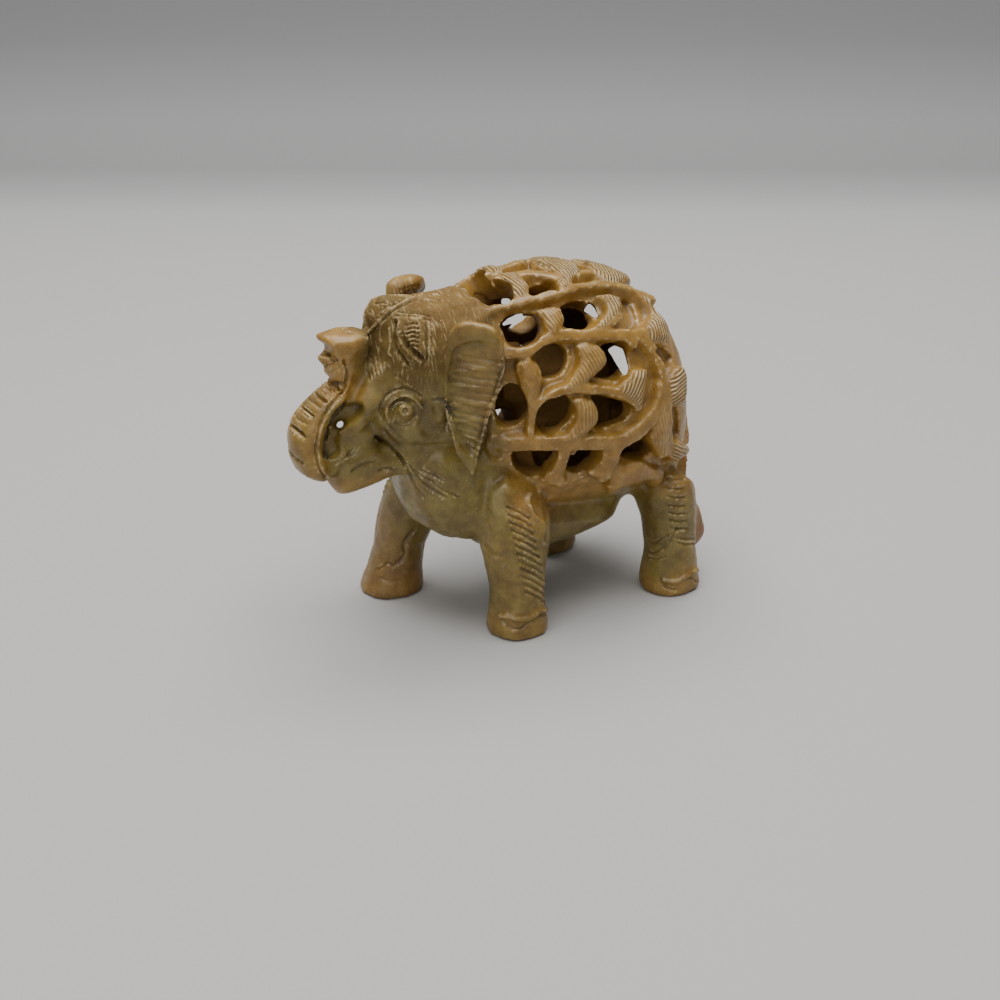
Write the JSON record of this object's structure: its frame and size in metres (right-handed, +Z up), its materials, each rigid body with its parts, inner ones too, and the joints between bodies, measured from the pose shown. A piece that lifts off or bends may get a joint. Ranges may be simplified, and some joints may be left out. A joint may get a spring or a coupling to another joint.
{
  "type": "elephant figurine",
  "caption": "Carved soapstone elephant with raised trunk and a hollow body pierced by vines and leaves, with a small calf standing inside.",
  "frame": {"origin": "on the standing surface, under the middle of the elephant's box", "axes": "+X forward to the head, +Y the elephant's left, +Z up"},
  "size_m": [0.0754, 0.038, 0.0612],
  "materials": {
    "soapstone": "waxed soapstone, olive green to honey brown, semi-gloss"
  },
  "bodies": {
    "root": {"elephant": "soapstone"}
  },
  "joints": []
}
